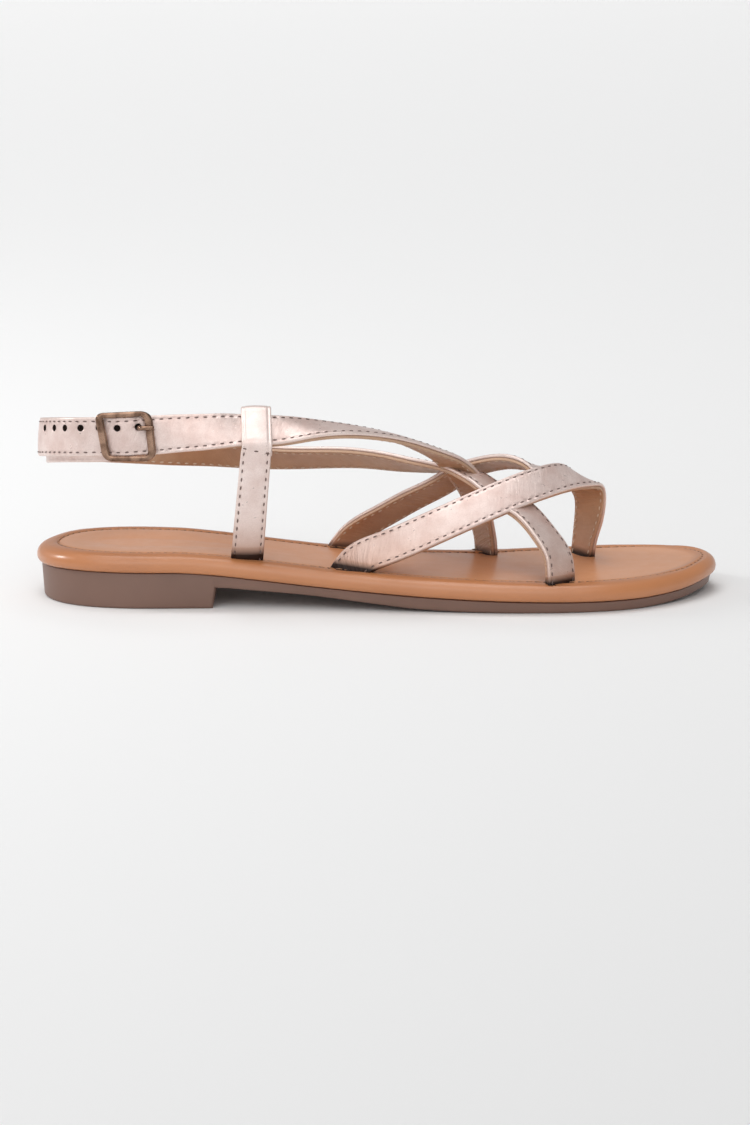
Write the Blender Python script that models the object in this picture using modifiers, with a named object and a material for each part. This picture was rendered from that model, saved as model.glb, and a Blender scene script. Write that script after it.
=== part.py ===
# Cross strap sandal, right shoe, size 38: flat sole, wrapped footbed, crossing straps and a buckled heel strap.
# Metres, +Z up. The toe points to +X, the inner (medial) side to +Y, the outer (lateral) side to -Y.
# The origin lies on the floor under the middle of the object's box.
import math

import bmesh
import bpy
import numpy as np
from mathutils import Vector

# Sole and footbed
LENGTH = 0.250
BALL_WIDTH = 0.078
HEEL_HEIGHT = 0.0132          # floor to the top of the outsole at the heel
HEEL_LENGTH = 0.065           # heel back to the heel breast
FOREPART_THICKNESS = 0.0039   # outsole under the ball of the foot
WAIST_THICKNESS = 0.0038      # outsole between heel and ball
TOE_SPRING = 0.0024
SOLE_INSET = 0.0017           # the outsole's side lies this far inside the footbed's edge
SOLE_TAPER = 0.0007           # and its foot this much further in
SOLE_EDGE = 0.0009            # rounding where the outsole's side meets the ground
FOOTBED_THICKNESS = 0.0062
EDGE_ROLL = 0.0036            # width of the soft rounding on the footbed's top edge
BREAST_RAKE = 0.0012          # the heel breast leans forward by this much
CLEARANCE = 0.0003

# Straps
STRAP_WIDTH = 0.0132
STRAP_THICKNESS = 0.0026      # two layers of leather
STRAP_CROWN = 0.0004
INSTEP_HEIGHT = 0.055         # unit for the straps' heights above the footbed
TAIL_RISE = 0.0009            # the buckled tail lies this much higher than the strap under it
WRAP_TILT = 4.0               # how far the heel strap faces upwards, in degrees
STRAP_STEP = 0.0045           # distance between two stations of a strap
FRONT_STEP = 0.0034           # and of the front strap, which twists more
FINE_STEP = 0.0005            # and of the path on which a place is looked up
SINK = 0.003                  # the strap ends are trimmed where they meet the footbed

# Strap loop on the outer side
LOOP_WIDTH = 0.0114
LOOP_ALONG = 0.328            # place of its eye, as a share of the length
LOOP_LEAN = 0.0042            # the loop's foot lies this far behind its eye
LOOP_FOOT_ACROSS = -0.60      # place of its foot, as a share of half the ball width
LOOP_SLACK = 0.0008           # room between the eye and the strap that runs through it
LOOP_CORNER = 0.7             # the eye's corner radius, as a share of half its depth
LOOP_BOW = 0.0018             # its standing part bows outwards by this much

# Buckle
BUCKLE_LENGTH = 0.0215
BUCKLE_ALONG = 0.142          # place on the heel strap, as a share of the length
RAIL_RADIUS = 0.0010
RAIL_MARGIN = 0.0005          # from the strap's edge to the inside of the rail
BUCKLE_CORNER = 0.0036
BAR_RADIUS = 0.0009
PRONG_RADIUS = 0.0006
WEAVE = 0.0008                # the strap swings in and out by this much through the buckle

# Holes in the tail
HOLE_RADIUS = 0.0011
HOLE_PITCH = 0.0072
HOLE_COUNT = 7
HOLE_RISE = 0.0032            # the row of holes lies above the middle of the strap
PRONG_HOLE_OFFSET = 0.0050    # the prong's hole lies this far in front of the centre bar

# The sole's outline from above, anticlockwise from the back of the heel over the inner side.
# along: share of the length from the heel, across: share of half the ball width.
OUTLINE = (
    (0.000, -0.03), (0.036, 0.50), (0.120, 0.71), (0.220, 0.66), (0.320, 0.57), (0.440, 0.52),
    (0.560, 0.565), (0.680, 0.74), (0.780, 0.92), (0.868, 1.003), (0.936, 0.90), (0.980, 0.62),
    (1.000, 0.20), (0.984, -0.14), (0.936, -0.53), (0.860, -0.85), (0.772, -0.98), (0.660, -0.995),
    (0.540, -0.935), (0.400, -0.84), (0.240, -0.79), (0.112, -0.77), (0.036, -0.54),
)

# The sole's side line. rise: share of what the heel adds to the forepart, spring: share of the toe spring,
# under: the underside's height in the waist, as a share of the height over the waist's thickness.
SIDE_LINE = (
    # along, rise, spring, under, under_spring
    (0.00, 0.94, 0.0, 0.80, 0.0),
    (0.06, 1.00, 0.0, 0.80, 0.0),
    (0.20, 0.99, 0.0, 0.80, 0.0),
    (0.26, 0.90, 0.0, 0.80, 0.0),
    (0.32, 0.74, 0.0, 0.70, 0.0),
    (0.40, 0.52, 0.0, 0.55, 0.0),
    (0.47, 0.36, 0.0, 0.35, 0.0),
    (0.56, 0.19, 0.0, 0.11, 0.0),
    (0.64, 0.09, 0.0, 0.025, 0.0),
    (0.70, 0.04, 0.0, 0.00, 0.0),
    (0.80, 0.00, 0.0, 0.00, 0.0),
    (0.87, 0.00, 0.02, 0.00, 0.0),
    (0.94, 0.00, 0.30, 0.00, 0.30),
    (1.00, 0.00, 1.00, 0.00, 1.00),
)

# Straps: a row for each bend. along and across are shares of the length and of half the ball width, height is a share
# of the instep height above the footbed. tilt (0 outer side, 90 up, 180 inner side) and turn about the vertical say
# where the outer face looks, and layer says how many strap thicknesses the strap lies outside its neighbour.
FRONT_STRAP = (
    (0.452, -0.64, -0.07, 34, 0, 0),
    (0.471, -0.65, 0.055, 34, 0, 0),
    (0.509, -0.655, 0.152, 37, 0, 0),
    (0.549, -0.64, 0.238, 38, 0, 0),
    (0.589, -0.59, 0.323, 39, 0, 0),
    (0.650, -0.47, 0.443, 40, 0, 0),
    (0.707, -0.32, 0.538, 41, 4, 0),
    (0.750, -0.16, 0.586, 46, 10, 0),
    (0.781, 0.00, 0.590, 58, 20, 0),
    (0.802, 0.15, 0.535, 82, 10, 0),
    (0.812, 0.28, 0.430, 116, -22, 0),
    (0.813, 0.37, 0.300, 148, -42, 0),
    (0.809, 0.45, 0.160, 166, -50, 0),
    (0.805, 0.52, -0.07, 172, -50, 0),
)
CROSS_STRAP = (
    (0.446, 0.39, -0.07, 150, 0, 0),
    (0.470, 0.430, 0.090, 140, 0, 0),
    (0.509, 0.470, 0.218, 133, 0, 0),
    (0.551, 0.455, 0.340, 128, 0, 0),
    (0.592, 0.385, 0.455, 123, 0, 0),
    (0.627, 0.300, 0.560, 120, 0, 0),
    (0.666, 0.185, 0.636, 117, 0, 0),
    (0.707, 0.040, 0.658, 110, 0, 0),
    (0.748, -0.110, 0.600, 70, 6, -1.0),
)
OUTER_STRAP = (
    (0.661, 0.50, -0.07, 172, -60, 0),
    (0.660, 0.50, 0.080, 168, -60, 0),
    (0.654, 0.46, 0.205, 160, -56, 0),
    (0.646, 0.36, 0.350, 148, -48, 0),
    (0.636, 0.20, 0.490, 130, -30, 0),
    (0.620, 0.06, 0.605, 110, -10, 0),
    (0.602, -0.05, 0.690, 99, 0, 0),
    (0.578, -0.17, 0.755, 94, 0, 0),
    (0.530, -0.36, 0.845, 91, 0, 0),
    (0.486, -0.49, 0.888, 88, 0, 0),
    (0.443, -0.59, 0.905, 82, 0, 0),
    (0.395, -0.68, 0.900, 66, 0, 0),
    (0.357, -0.730, 0.878, 50, 0, 0.1),
    (0.305, -0.755, 0.842, 42, 0, 0.6),
    (0.270, -0.755, 0.822, 28, 0, 1),
    (0.215, -0.745, 0.800, 18, 0, 1),
)
INNER_STRAP = (
    (0.760, -0.78, -0.07, 6, 42, 0),
    (0.760, -0.78, 0.063, 8, 42, 0),
    (0.757, -0.74, 0.157, 12, 40, 0),
    (0.742, -0.64, 0.265, 24, 38, 0),
    (0.714, -0.44, 0.408, 40, 30, -0.25),
    (0.679, -0.21, 0.507, 58, 18, -0.25),
    (0.646, -0.03, 0.560, 92, 0, 0.4),
    (0.621, 0.13, 0.578, 101, 0, 0.8),
    (0.591, 0.26, 0.588, 108, 0, 0.8),
    (0.550, 0.38, 0.600, 115, 0, 0.4),
    (0.509, 0.48, 0.600, 121, 0, 0),
    (0.467, 0.58, 0.583, 125, 0, 0),
    (0.383, 0.69, 0.536, 129, 0, 0),
    (0.316, 0.735, 0.508, 136, 0, 0),
    (0.240, 0.735, 0.512, 150, 0, 0),
)
# The stretch round the heel, from the buckle on the outer side to the inner side: along, across, height, turn
HEEL_WRAP = (
    (BUCKLE_ALONG, -0.735, 0.756, -4),
    (0.084, -0.655, 0.742, -28),
    (0.047, -0.43, 0.713, -56),
    (0.025, -0.12, 0.675, -84),
    (0.030, 0.20, 0.635, -112),
    (0.056, 0.50, 0.597, -140),
    (0.100, 0.67, 0.566, -164),
    (0.168, 0.72, 0.545, -176),
)
TAIL_ROWS = 5                 # the tail follows this many rows of the heel wrap

COLOURS = {
    "outsole": ((0.245, 0.150, 0.112), 0.75, 0.0),
    "footbed": ((0.610, 0.270, 0.135), 0.48, 0.0),
    "upper": ((0.790, 0.560, 0.500), 0.34, 0.45),
    "loop_lateral": ((0.790, 0.560, 0.500), 0.34, 0.45),
    "buckle_frame": ((0.560, 0.330, 0.230), 0.25, 1.0),
    "buckle_prong": ((0.560, 0.330, 0.230), 0.25, 1.0),
}


# Curves through table rows

def smooth_rows(rows, count, closed=False):
    """Points on a cubic spline through the rows, evenly spaced by the length of the first three columns."""
    rows = np.array(rows, dtype=float)
    if closed:
        rows = np.vstack([rows[-3:], rows, rows[:4]])
    gaps = np.linalg.norm(np.diff(rows[:, :3], axis=0), axis=1)
    knots = np.concatenate([[0.0], np.cumsum(gaps)])
    size = len(rows)
    matrix = np.eye(size)
    right = np.zeros_like(rows)
    for i in range(1, size - 1):
        before, after = gaps[i - 1], gaps[i]
        matrix[i, i - 1:i + 2] = before, 2 * (before + after), after
        right[i] = 6 * ((rows[i + 1] - rows[i]) / after - (rows[i] - rows[i - 1]) / before)
    bend = np.linalg.solve(matrix, right)
    first, last = (knots[3], knots[-4]) if closed else (knots[0], knots[-1])
    places = np.linspace(first, last, count, endpoint=not closed)
    piece = np.clip(np.searchsorted(knots, places, side="right") - 1, 0, size - 2)
    span = gaps[piece][:, None]
    a = ((knots[piece + 1] - places)[:, None]) / span
    b = 1 - a
    curve = a * rows[piece] + b * rows[piece + 1]
    return curve + ((a ** 3 - a) * bend[piece] + (b ** 3 - b) * bend[piece + 1]) * span ** 2 / 6


def side_value(along, column):
    """A column of the side line at a share of the length, without overshoot between the rows."""
    table = np.array(SIDE_LINE)
    s, v = table[:, 0], table[:, column]
    steps = np.diff(s)
    slopes = np.diff(v) / steps
    tangents = np.zeros(len(s))
    for i in range(1, len(s) - 1):
        if slopes[i - 1] * slopes[i] > 0:
            tangents[i] = 2 * slopes[i - 1] * slopes[i] / (slopes[i - 1] + slopes[i])
    along = min(max(along, s[0]), s[-1])
    i = min(int(np.searchsorted(s, along, side="right")) - 1, len(s) - 2)
    t = (along - s[i]) / steps[i]
    return ((1 + 2 * t) * (1 - t) ** 2 * v[i] + t * (1 - t) ** 2 * steps[i] * tangents[i]
            + t * t * (3 - 2 * t) * v[i + 1] + t * t * (t - 1) * steps[i] * tangents[i + 1])


def sole_top(x):
    along = x / LENGTH + 0.5
    heel_part = side_value(along, 1) * (HEEL_HEIGHT - FOREPART_THICKNESS)
    return FOREPART_THICKNESS + heel_part + side_value(along, 2) * TOE_SPRING


def sole_under(x):
    along = x / LENGTH + 0.5
    if x < breast_x():
        return 0.0
    return side_value(along, 3) * (HEEL_HEIGHT - WAIST_THICKNESS) + side_value(along, 4) * TOE_SPRING


def breast_x():
    return HEEL_LENGTH - LENGTH / 2


def footbed_top(x):
    return sole_top(x) + CLEARANCE + FOOTBED_THICKNESS


# Sole pieces

def outline_loop(inset, count=240):
    """The sole's outline moved inwards, as an array of points."""
    rows = [((along - 0.5) * LENGTH, across * BALL_WIDTH / 2) for along, across in OUTLINE]
    points = smooth_rows([(x, y, 0.0) for x, y in rows], count, closed=True)[:, :2]
    ahead = np.roll(points, -1, axis=0) - np.roll(points, 1, axis=0)
    inward = np.stack([ahead[:, 1], -ahead[:, 0]], 1) / np.linalg.norm(ahead, axis=1)[:, None]
    return points + inward * inset


def outline_ring(inset, stations):
    """Pairs of outline points at the stations, first up the outer side and then back down the inner side."""
    loop = outline_loop(inset)
    back, front = int(np.argmin(loop[:, 0])), int(np.argmax(loop[:, 0]))
    inner = np.roll(loop, -back, axis=0)[:(front - back) % len(loop) + 1]
    outer = np.roll(loop, -front, axis=0)[:(back - front) % len(loop) + 1][::-1]
    low, high = loop[back, 0], loop[front, 0]
    places = [low + (high - low) * share for share in stations]
    outer_side = [(x, float(np.interp(x, outer[:, 0], outer[:, 1]))) for x in places]
    inner_side = [(x, float(np.interp(x, inner[:, 0], inner[:, 1]))) for x in places[1:-1]]
    nominal = [(share - 0.5) * LENGTH for share in stations]
    return outer_side + inner_side[::-1], nominal + nominal[-2:0:-1]


def station_shares(count, extra=()):
    shares = [0.5 - 0.5 * math.cos(math.pi * i / count) for i in range(count + 1)]
    return sorted(shares + list(extra))


def sole_body(name, rings, stations):
    """A closed solid from rings of outline points, each ring a pair of inset and height function."""
    mesh = bmesh.new()
    loops = []
    for inset, height in rings:
        ring, nominal = outline_ring(inset, stations)
        loops.append([mesh.verts.new((x, y, height(at))) for (x, y), at in zip(ring, nominal)])
    size = len(loops[0])
    for low, high in zip(loops, loops[1:]):
        for i in range(size):
            j = (i + 1) % size
            mesh.faces.new((low[i], low[j], high[j], high[i]))
    for loop, upward in ((loops[0], False), (loops[-1], True)):
        last = len(stations) - 1
        for i in range(last):
            outer_near, outer_far = loop[i], loop[i + 1]
            inner_near, inner_far = loop[-i % size], loop[size - i - 1]
            corners = list(dict.fromkeys((outer_near, outer_far, inner_far, inner_near)))
            mesh.faces.new(corners if upward else corners[::-1])
    return finish_mesh(name, mesh)


def outsole():
    step = HEEL_LENGTH / LENGTH
    stations = station_shares(34, (step - BREAST_RAKE / LENGTH, step))
    rings = (
        (SOLE_INSET + SOLE_TAPER + SOLE_EDGE, sole_under),
        (SOLE_INSET + SOLE_TAPER, lambda x: sole_under(x) + SOLE_EDGE),
        (SOLE_INSET, sole_top),
    )
    return sole_body("outsole", rings, stations)


def footbed_rings(grow=0.0, depth=0.0):
    """The wrapped edge of the footbed: share of the thickness and share of the edge's roll."""
    profile = ((0.00, 0.30), (0.14, 0.08), (0.36, 0.00), (0.58, 0.04), (0.78, 0.20), (0.92, 0.50), (1.00, 1.00))
    rings = []
    for height, roll in profile:
        low = sole_top_plus(CLEARANCE + height * FOOTBED_THICKNESS + (grow if height > 0.5 else -depth))
        rings.append((roll * EDGE_ROLL - grow, low))
    return rings


def sole_top_plus(extra):
    return lambda x: sole_top(x) + extra


def footbed():
    return sole_body("footbed", footbed_rings(), station_shares(30))


# Straps

def foot_point(along, across, height):
    x = (along - 0.5) * LENGTH
    return np.array([x, across * BALL_WIDTH / 2, footbed_top(x) + height * INSTEP_HEIGHT])


def facing(tilt, turn):
    tilt, turn = np.radians(tilt), np.radians(turn)
    return np.stack([np.cos(tilt) * np.sin(turn), -np.cos(tilt) * np.cos(turn), np.sin(tilt)], -1)


def strap_path(rows, step=STRAP_STEP):
    """Stations of a strap: middle points, directions, outer normals and width directions."""
    table = [(*foot_point(*row[:3]), *row[3:]) for row in rows]
    length = np.sum(np.linalg.norm(np.diff(np.array(table)[:, :3], axis=0), axis=1))
    values = smooth_rows(table, max(6, round(length / step)))
    points = values[:, :3]
    ahead = np.gradient(points, axis=0)
    ahead /= np.linalg.norm(ahead, axis=1)[:, None]
    outward = facing(values[:, 3], values[:, 4])
    outward -= np.sum(outward * ahead, axis=1)[:, None] * ahead
    outward /= np.linalg.norm(outward, axis=1)[:, None]
    points = points + outward * (values[:, 5] * (STRAP_THICKNESS + CLEARANCE))[:, None]
    return points, ahead, outward, np.cross(ahead, outward)


def ribbon(name, path, width, closed=False):
    """A strap as an open band with a slight crown, given its thickness by Solidify."""
    points, _, outward, across = path
    mesh = bmesh.new()
    rows = []
    for point, normal, side in zip(points, outward, across):
        edge, middle = side * width / 2, normal * STRAP_CROWN
        rows.append([mesh.verts.new(p) for p in (point - edge, point + middle, point + edge)])
    pairs = list(zip(rows, rows[1:] + rows[:1])) if closed else list(zip(rows, rows[1:]))
    for near, far in pairs:
        for i in range(2):
            mesh.faces.new((near[i], far[i], far[i + 1], near[i + 1]))
    band = finish_mesh(name, mesh, outwards=False)
    wall = band.modifiers.new("wall", "SOLIDIFY")
    wall.thickness = STRAP_THICKNESS
    wall.offset = 0.0
    return band


def tail_rows():
    """The outer strap's last rows: over the buckle's bar and round the heel on top of the inner strap."""
    rise = TAIL_RISE / INSTEP_HEIGHT
    return tuple((a, c, h + rise, WRAP_TILT, turn, 1) for a, c, h, turn in HEEL_WRAP[:TAIL_ROWS])


def inner_wrap_rows():
    """The inner strap's last rows, from the inner side round the heel to the buckle's bar."""
    rows = [(a, c, h, 180 - WRAP_TILT, turn + 180, 0) for a, c, h, turn in reversed(HEEL_WRAP)]
    end = BUCKLE_ALONG - (BAR_RADIUS + 2 * CLEARANCE) / LENGTH
    return tuple(rows[:-1]) + ((end, *rows[-1][1:]),)


def buckle_weave(path):
    """Lets the outer strap swing under the buckle's ends and over its centre bar."""
    points, ahead, outward, across = path
    away = points[:, 0] - buckle_frame_axes()[0][0]
    near = (np.abs(away) < 0.75 * BUCKLE_LENGTH) & (points[:, 1] < 0)
    swing = np.where(near, WEAVE * np.cos(2 * np.pi * away / BUCKLE_LENGTH), 0.0)
    return points + outward * swing[:, None], ahead, outward, across


def outer_path(step=STRAP_STEP):
    return strap_path(OUTER_STRAP + tail_rows(), step)


def path_place(path, along):
    """The middle, direction, normal and width direction where an outer path passes a share of the length."""
    points = path[0]
    x = (along - 0.5) * LENGTH
    upper_half = points[:, 1] < 0
    i = int(np.argmin(np.where(upper_half, np.abs(points[:, 0] - x), 1.0)))
    return [Vector(values[i]) for values in path]


def buckle_frame_axes():
    return path_place(outer_path(FINE_STEP), BUCKLE_ALONG)


def upper():
    """The crossing straps as one piece, with the tail's holes."""
    bands = [
        ribbon("upper", buckle_weave(outer_path()), STRAP_WIDTH),
        ribbon("inner_strap", strap_path(INNER_STRAP + inner_wrap_rows()), STRAP_WIDTH),
        ribbon("front_strap", strap_path(FRONT_STRAP, FRONT_STEP), STRAP_WIDTH),
        ribbon("cross_strap", strap_path(CROSS_STRAP), STRAP_WIDTH),
    ]
    body = bands[0]
    for band in bands[1:]:
        add_boolean(body, band, "UNION")
        as_cutter(band)
    for hole in hole_cutters():
        add_boolean(body, hole, "DIFFERENCE")
    add_boolean(body, bed_cutter(), "DIFFERENCE")
    return body


def hole_cutters():
    """Pins through the tail, one for each hole, counted from the hole that the prong uses."""
    points, _, outward, across = outer_path(FINE_STEP)
    centre = buckle_frame_axes()[0]
    lengths = np.concatenate([[0.0], np.cumsum(np.linalg.norm(np.diff(points, axis=0), axis=1))])
    start = int(np.argmin(np.linalg.norm(points - np.array(centre), axis=1)))
    for number in range(HOLE_COUNT):
        place = lengths[start] - PRONG_HOLE_OFFSET + number * HOLE_PITCH
        i = min(int(np.searchsorted(lengths, place)), len(points) - 1)
        middle = Vector(points[i]) + width_up(across[i]) * HOLE_RISE
        pin = cylinder(f"hole_{number}", HOLE_RADIUS, 3 * STRAP_THICKNESS, middle, Vector(outward[i]), 10)
        # The inner strap has no holes, so a pin stops short of it.
        pin.location += Vector(outward[i]) * (STRAP_THICKNESS - CLEARANCE / 2)
        yield as_cutter(pin)


def width_up(side):
    """A strap's width direction, turned to point upwards."""
    side = Vector(side)
    return side if side.z > 0 else -side


def bed_cutter():
    """The footbed grown by the clearance, which trims the strap ends."""
    cutter = sole_body("bed_space", footbed_rings(CLEARANCE, SINK), station_shares(30))
    return as_cutter(cutter)


def loop_lateral():
    """A strap that stands up from the footbed and ends in an eye round the outer strap."""
    middle, ahead, normal, _ = path_place(outer_path(FINE_STEP), LOOP_ALONG)
    ahead = Vector((ahead.x, ahead.y, 0)).normalized()
    normal = (normal - ahead * normal.dot(ahead)).normalized()
    side = width_up(ahead.cross(normal))
    half_out = STRAP_THICKNESS + STRAP_CROWN + LOOP_SLACK
    half_up = (STRAP_WIDTH + STRAP_THICKNESS) / 2 + LOOP_SLACK
    corner = LOOP_CORNER * half_out
    arcs = ((1, 1, 0), (-1, 1, 90), (-1, -1, 180), (1, -1, 270))
    points, outward = [], []
    for sign_out, sign_up, start in arcs:
        for i in range(5):
            angle = math.radians(start + 90 * i / 4)
            direction = normal * math.cos(angle) + side * math.sin(angle)
            centre = normal * sign_out * (half_out - corner) + side * sign_up * (half_up - corner)
            points.append(middle + centre + direction * corner)
            outward.append(direction)
    ahead_list = [ahead] * len(points)
    eye = ribbon("loop_lateral", (points, None, outward, ahead_list), LOOP_WIDTH, closed=True)
    foot_x = middle.x - LOOP_LEAN
    foot = Vector((foot_x, LOOP_FOOT_ACROSS * BALL_WIDTH / 2, footbed_top(foot_x) - SINK))
    top = middle + normal * (half_out - corner) - side * half_up
    stem = stem_band(foot, top)
    add_boolean(eye, stem, "UNION")
    add_boolean(eye, bed_cutter(), "DIFFERENCE")
    as_cutter(stem)
    return eye


def stem_band(foot, top):
    """The loop's standing part, bowed a little outwards."""
    rise = top - foot
    count = 12
    points, outward, across = [], [], []
    for i in range(count + 1):
        share = i / count
        bow = Vector((0, -LOOP_BOW, 0)) * math.sin(math.pi * share)
        points.append(foot + rise * share + bow)
    for i, point in enumerate(points):
        ahead = (points[min(i + 1, count)] - points[max(i - 1, 0)]).normalized()
        normal = Vector((0, -1, 0))
        normal = (normal - ahead * normal.dot(ahead)).normalized()
        outward.append(normal)
        across.append(ahead.cross(normal))
    return ribbon("stem", (points, None, outward, across), LOOP_WIDTH - CLEARANCE)


# Buckle

def buckle_frame():
    """A rounded rectangle of rail with a set back centre bar, all one piece."""
    middle, ahead, normal, side = buckle_frame_axes()
    side = width_up(side)
    out = rail_depth()
    half_long = BUCKLE_LENGTH / 2 - RAIL_RADIUS
    half_high = STRAP_WIDTH / 2 + RAIL_MARGIN + RAIL_RADIUS
    points = []
    for sign_long, sign_high, start in ((1, 1, 0), (-1, 1, 90), (-1, -1, 180), (1, -1, 270)):
        for i in range(4):
            angle = math.radians(start + 90 * i / 3)
            reach = BUCKLE_CORNER * math.cos(angle) + sign_long * (half_long - BUCKLE_CORNER)
            height = BUCKLE_CORNER * math.sin(angle) + sign_high * (half_high - BUCKLE_CORNER)
            points.append(middle + ahead * reach + side * height + normal * out)
    frame = wire("buckle_frame", points, RAIL_RADIUS, closed=True)
    depth = bar_depth()
    bar_points = [middle + side * half_high + normal * out, middle + side * half_high + normal * depth,
                  middle - side * half_high + normal * depth, middle - side * half_high + normal * out]
    bar = wire("centre_bar", bar_points, BAR_RADIUS)
    add_boolean(frame, bar, "UNION")
    as_cutter(bar)
    return frame


def rail_depth():
    """How far the rails lie outside the strap's unwoven middle."""
    return STRAP_THICKNESS / 2 + STRAP_CROWN + CLEARANCE + RAIL_RADIUS - WEAVE


def bar_depth():
    return WEAVE - STRAP_THICKNESS / 2 - CLEARANCE - BAR_RADIUS - STRAP_CROWN


def buckle_prong():
    """From beside the centre bar out through its hole and onto the front rail."""
    middle, ahead, normal, side = buckle_frame_axes()
    if ahead.x < 0:
        ahead = -ahead
    side = width_up(side)
    low = bar_depth()
    rest = rail_depth() + RAIL_RADIUS + CLEARANCE + PRONG_RADIUS
    bar_side = BAR_RADIUS + CLEARANCE + PRONG_RADIUS
    rail = BUCKLE_LENGTH / 2 - RAIL_RADIUS
    shape = ((bar_side, low), (PRONG_HOLE_OFFSET - PRONG_RADIUS, low), (PRONG_HOLE_OFFSET, low + PRONG_RADIUS),
             (PRONG_HOLE_OFFSET, rest - 2 * PRONG_RADIUS), (PRONG_HOLE_OFFSET + 2 * PRONG_RADIUS, rest),
             (rail + RAIL_RADIUS, rest))
    points = [middle + ahead * reach + normal * out + side * HOLE_RISE for reach, out in shape]
    return wire("buckle_prong", points, PRONG_RADIUS)


# Helpers

def parts_collection(name):
    group = bpy.data.collections.get(name)
    if group is None:
        group = bpy.data.collections.new(name)
        bpy.context.scene.collection.children.link(group)
    return group


def finish_mesh(name, mesh, outwards=True):
    if outwards:
        bmesh.ops.recalc_face_normals(mesh, faces=mesh.faces[:])
    data = bpy.data.meshes.new(name)
    mesh.to_mesh(data)
    mesh.free()
    item = bpy.data.objects.new(name, data)
    parts_collection("cross_strap_sandal").objects.link(item)
    return item


def as_cutter(item):
    for group in list(item.users_collection):
        group.objects.unlink(item)
    parts_collection("cutters").objects.link(item)
    item.hide_render = True
    item.display_type = "WIRE"
    return item


def add_boolean(item, other, operation):
    step = item.modifiers.new(f"{operation.lower()}_{other.name}", "BOOLEAN")
    step.operation = operation
    step.object = other


def cylinder(name, radius, depth, middle, axis, sides):
    mesh = bmesh.new()
    bmesh.ops.create_cone(mesh, cap_ends=True, segments=sides, radius1=radius, radius2=radius, depth=depth)
    item = finish_mesh(name, mesh)
    item.location = middle
    item.rotation_euler = axis.to_track_quat("Z", "Y").to_euler()
    return item


def wire(name, points, radius, closed=False):
    """A round wire along the points, made a mesh with welded caps."""
    data = bpy.data.curves.new(name, "CURVE")
    data.dimensions = "3D"
    data.bevel_depth = radius
    data.bevel_resolution = 2
    data.use_fill_caps = not closed
    spline = data.splines.new("POLY")
    spline.points.add(len(points) - 1)
    for slot, point in zip(spline.points, points):
        slot.co = (*point, 1.0)
    spline.use_cyclic_u = closed
    curve = bpy.data.objects.new(name, data)
    bpy.context.scene.collection.objects.link(curve)
    evaluated = curve.evaluated_get(bpy.context.evaluated_depsgraph_get())
    mesh = bmesh.new()
    mesh.from_mesh(bpy.data.meshes.new_from_object(evaluated))
    bmesh.ops.remove_doubles(mesh, verts=mesh.verts[:], dist=0.00001)
    bpy.data.objects.remove(curve)
    return finish_mesh(name, mesh)


def paint(item, colour, roughness, metallic):
    material = bpy.data.materials.new(item.name)
    material.use_nodes = True
    shader = material.node_tree.nodes["Principled BSDF"]
    shader.inputs["Base Color"].default_value = (*colour, 1.0)
    shader.inputs["Roughness"].default_value = roughness
    shader.inputs["Metallic"].default_value = metallic
    item.data.materials.clear()
    item.data.materials.append(material)
    item.data.shade_smooth()
    item.data.set_sharp_from_angle(angle=math.radians(40))


def main():
    for item in list(bpy.data.objects):
        bpy.data.objects.remove(item, do_unlink=True)
    for make in (outsole, footbed, upper, loop_lateral, buckle_frame, buckle_prong):
        item = make()
        paint(item, *COLOURS[item.name])


main()
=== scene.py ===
import math

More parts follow.
